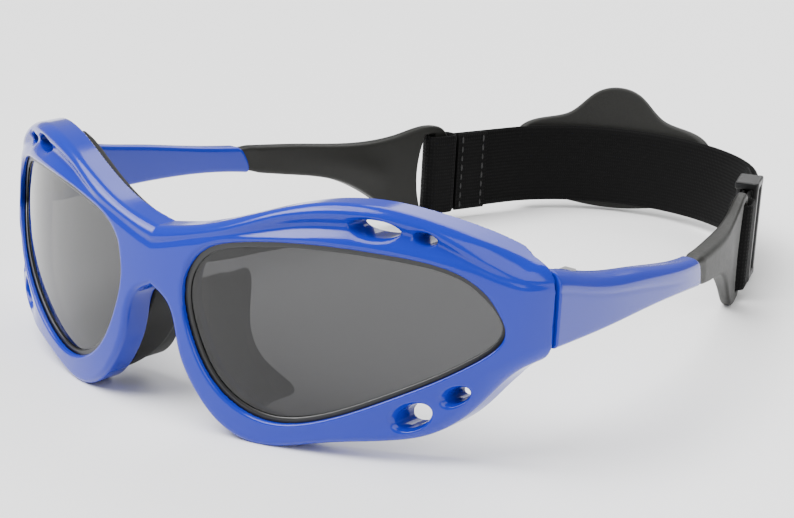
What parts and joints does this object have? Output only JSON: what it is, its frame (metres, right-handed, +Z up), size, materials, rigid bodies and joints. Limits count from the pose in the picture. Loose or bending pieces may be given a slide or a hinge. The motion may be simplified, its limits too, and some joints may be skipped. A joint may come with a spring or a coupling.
{
  "type": "wraparound sport sunglasses",
  "caption": "Wraparound sport sunglasses with vented front, folding temples and flared tips that carry an adjustable webbing head strap with a padded back.",
  "frame": {"origin": "middle of the whole object on the surface it stands on, midway between the front of the bridge and the back of the head pad", "axes": "+X to the wearer's left, +Y back from the lenses to the strap, +Z up"},
  "size_m": [0.1332, 0.1979, 0.0461],
  "materials": {
    "frame_gloss": "gloss",
    "lens_smoke": "polished",
    "gasket_rubber": "matte",
    "pad_rubber": "matte",
    "tip_soft_touch": "matte",
    "hinge_steel": "brushed",
    "webbing": "woven",
    "thread": "woven",
    "neoprene": "matte",
    "slider_plastic": "satin"
  },
  "bodies": {
    "front": {"front_frame": "frame_gloss", "lens_left": "lens_smoke", "lens_right": "lens_smoke", "lens_gasket_left": "gasket_rubber", "lens_gasket_right": "gasket_rubber", "nose_pad_left": "pad_rubber", "nose_pad_right": "pad_rubber", "brow_pad": "pad_rubber", "hinge_front_leaf_left": "hinge_steel", "hinge_front_leaf_right": "hinge_steel", "hinge_screw_left": "hinge_steel", "hinge_screw_right": "hinge_steel"},
    "left_temple": {"temple_left": "frame_gloss", "temple_tip_left": "tip_soft_touch", "hinge_temple_leaf_left": "hinge_steel"},
    "right_temple": {"temple_right": "frame_gloss", "temple_tip_right": "tip_soft_touch", "hinge_temple_leaf_right": "hinge_steel", "strap_bar_loop_right": "webbing"},
    "bar_loop": {"strap_bar_loop_left": "webbing"},
    "strap_left": {"strap_webbing_left": "webbing", "strap_tail": "webbing"},
    "strap_right": {"strap_webbing_right": "webbing", "strap_fold_over": "webbing", "strap_stitching": "thread", "head_pad": "neoprene"},
    "slider": {"strap_slider": "slider_plastic"}
  },
  "joints": [
    {"name": "left_fold", "type": "hinge", "parent": "front", "child": "left_temple", "pos_m": [0.061, -0.06449, 0.0295], "axis": [0, 0, 1], "range_deg": [0, 66.48]},
    {"name": "right_fold", "type": "hinge", "parent": "front", "child": "right_temple", "pos_m": [-0.061, -0.06449, 0.0295], "axis": [0, 0, 1], "range_deg": [-81, 0], "deforming": ["strap_bar_loop_left", "strap_bar_loop_right", "strap_webbing_left", "strap_tail", "strap_webbing_right", "strap_fold_over", "strap_stitching", "head_pad"]},
    {"name": "strap_loop_turn", "type": "hinge", "parent": "left_temple", "child": "bar_loop", "pos_m": [0.04272, 0.04921, 0.0124], "axis": [0, 0, 1], "range_deg": [0, 128.5]},
    {"name": "strap_left_turn", "type": "hinge", "parent": "bar_loop", "child": "strap_left", "pos_m": [0.04272, 0.04921, 0.0124], "axis": [0, 0, 1], "range_deg": [-162.7, 0]},
    {"name": "strap_knee", "type": "hinge", "parent": "strap_left", "child": "strap_right", "pos_m": [0.01362, 0.09168, 0.0124], "axis": [0, 0, 1], "range_deg": [-52.7, 0]},
    {"name": "slider_adjust", "type": "slide", "parent": "strap_left", "child": "slider", "axis": [-0.3308, 0.9437, 0], "range_m": [0, 0.0018]}
  ],
  "couplings": [
    {"joint": "strap_loop_turn", "follows": "right_fold", "ratio": -1.5744},
    {"joint": "strap_left_turn", "follows": "left_fold", "ratio": -2.433},
    {"joint": "strap_knee", "follows": "right_fold", "ratio": 0.63815}
  ]
}
